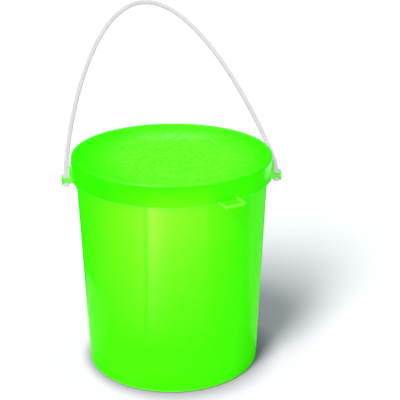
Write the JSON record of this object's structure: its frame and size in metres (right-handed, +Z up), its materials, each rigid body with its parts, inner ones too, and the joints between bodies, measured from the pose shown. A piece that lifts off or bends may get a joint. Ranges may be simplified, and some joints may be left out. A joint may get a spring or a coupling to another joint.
{
  "type": "bait bucket",
  "caption": "Round tapered moulded pail with a vented push-on lid, thumb tab and clip-on bail; carries live bait with air reaching it.",
  "frame": {"origin": "centre of the foot ring, on the surface the pail stands on", "axes": "+Z up along the pail's axis, X along the two lugs that carry the bail, +Y towards the side the bail leans to at rest"},
  "size_m": [0.1654, 0.2178, 0.2561],
  "materials": {
    "green_moulding": "smooth translucent fluorescent green polypropylene",
    "natural_moulding": "smooth milky white polypropylene"
  },
  "bodies": {
    "bucket": {"bucket": "green_moulding"},
    "lid": {"lid": "green_moulding"},
    "bail": {"bail": "natural_moulding"}
  },
  "joints": [
    {"name": "lid_lift", "type": "slide", "parent": "bucket", "child": "lid", "axis": [0, 0, 1], "range_m": [0, 0.08]},
    {"name": "bail_swing", "type": "hinge", "parent": "bucket", "child": "bail", "pos_m": [0, 0, 0.1469], "axis": [1, 0, 0], "range_deg": [-92, 196]}
  ]
}
